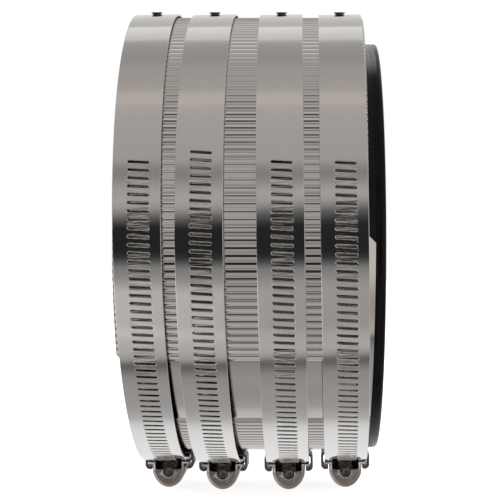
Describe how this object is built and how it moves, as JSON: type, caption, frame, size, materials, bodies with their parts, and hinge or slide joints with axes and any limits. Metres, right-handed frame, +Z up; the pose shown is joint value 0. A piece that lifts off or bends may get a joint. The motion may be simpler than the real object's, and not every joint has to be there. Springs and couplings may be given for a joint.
{
  "type": "no-hub pipe coupling",
  "caption": "Pipe coupling: a rubber sleeve inside a corrugated metal shield, drawn tight round two plain pipe ends by worm drive band clamps.",
  "frame": {"origin": "on the surface that the coupling stands on, under the middle of its bounding box", "axes": "X along the pipes, +X towards the end where the rubber sleeve stands out; +Z up, from the clamp screws to the rivets; -Y is the side where the shield's lap and the straps' slots show"},
  "size_m": [0.0818, 0.156, 0.165],
  "materials": {
    "rubber": "moulded black elastomer, faintly satin",
    "corrugated_steel": "bright rolled stainless sheet",
    "strap_steel": "bright rolled stainless strip, near mirror",
    "pressed_steel": "darker pressed stainless, satin",
    "screw_steel": "turned and rolled steel, satin",
    "rivet_steel": "dark steel"
  },
  "bodies": {
    "coupling": {"gasket": "rubber", "shield": "corrugated_steel", "band_1": "strap_steel", "band_2": "strap_steel", "band_3": "strap_steel", "band_4": "strap_steel", "housing_1": "pressed_steel", "housing_2": "pressed_steel", "housing_3": "pressed_steel", "housing_4": "pressed_steel", "saddle_1": "pressed_steel", "saddle_2": "pressed_steel", "saddle_3": "pressed_steel", "saddle_4": "pressed_steel", "eyelet_1": "rivet_steel", "eyelet_2": "rivet_steel", "eyelet_3": "rivet_steel", "eyelet_4": "rivet_steel"},
    "worm_screw_1": {"screw_1": "screw_steel"},
    "worm_screw_2": {"screw_2": "screw_steel"},
    "worm_screw_3": {"screw_3": "screw_steel"},
    "worm_screw_4": {"screw_4": "screw_steel"}
  },
  "joints": [
    {"name": "screw_1_turn", "type": "hinge", "parent": "coupling", "child": "worm_screw_1", "pos_m": [-0.03072, 0, 0.00643], "axis": [0.0087, 1, 0], "continuous": true},
    {"name": "screw_2_turn", "type": "hinge", "parent": "coupling", "child": "worm_screw_2", "pos_m": [-0.01196, -0.00002, 0.00561], "axis": [0.0227, 0.9997, 0], "continuous": true},
    {"name": "screw_3_turn", "type": "hinge", "parent": "coupling", "child": "worm_screw_3", "pos_m": [0.01083, 0.00001, 0.00562], "axis": [0.0035, 1, 0], "continuous": true},
    {"name": "screw_4_turn", "type": "hinge", "parent": "coupling", "child": "worm_screw_4", "pos_m": [0.0306, -0.00001, 0.00642], "axis": [0.0157, 0.9999, 0], "continuous": true}
  ]
}
